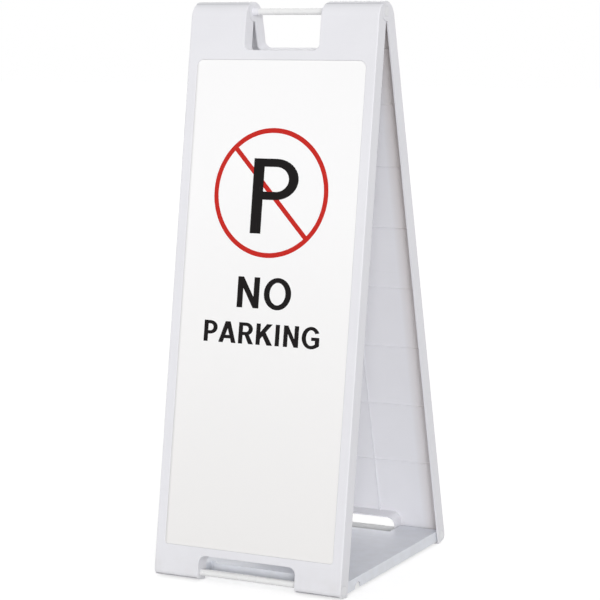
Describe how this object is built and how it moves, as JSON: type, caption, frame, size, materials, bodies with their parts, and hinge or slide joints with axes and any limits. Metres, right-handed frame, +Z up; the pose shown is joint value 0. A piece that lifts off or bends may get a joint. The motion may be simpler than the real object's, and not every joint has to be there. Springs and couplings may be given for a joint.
{
  "type": "folding floor parking sign",
  "caption": "Folding A-frame floor sign: two hollow leaves on a hinge pipe that is also the handle, display boards and a fold-up base plate.",
  "frame": {"origin": "on the floor, below the hinge pipe, at the middle of the footprint", "axes": "+Z up, +X to the right seen from the front, -Y towards the front display face"},
  "size_m": [0.4442, 0.506, 1.2001],
  "materials": {
    "leaf": "satin moulded",
    "board": "smooth satin sheet",
    "base": "satin moulded",
    "pipe": "smooth drawn pipe",
    "cap": "smooth moulded"
  },
  "bodies": {
    "rear_frame": {"rear_leaf": "leaf", "rear_display_board": "board", "handle_pipe": "pipe", "handle_cap_left": "cap", "handle_cap_right": "cap", "rear_foot_pipe": "pipe", "rear_foot_cap_left": "cap", "rear_foot_cap_right": "cap"},
    "front_frame": {"front_leaf": "leaf", "front_display_board": "board", "front_foot_pipe": "pipe", "front_foot_cap_left": "cap", "front_foot_cap_right": "cap"},
    "base": {"base_plate": "base"}
  },
  "joints": [
    {"name": "leaf_fold", "type": "hinge", "parent": "rear_frame", "child": "front_frame", "pos_m": [0, 0, 1.17927], "axis": [1, 0, 0], "range_deg": [0, 0.75]},
    {"name": "base_fold", "type": "hinge", "parent": "rear_frame", "child": "base", "pos_m": [0, 0.23551, 0.01779], "axis": [-1, 0, 0], "range_deg": [0, 76]}
  ]
}
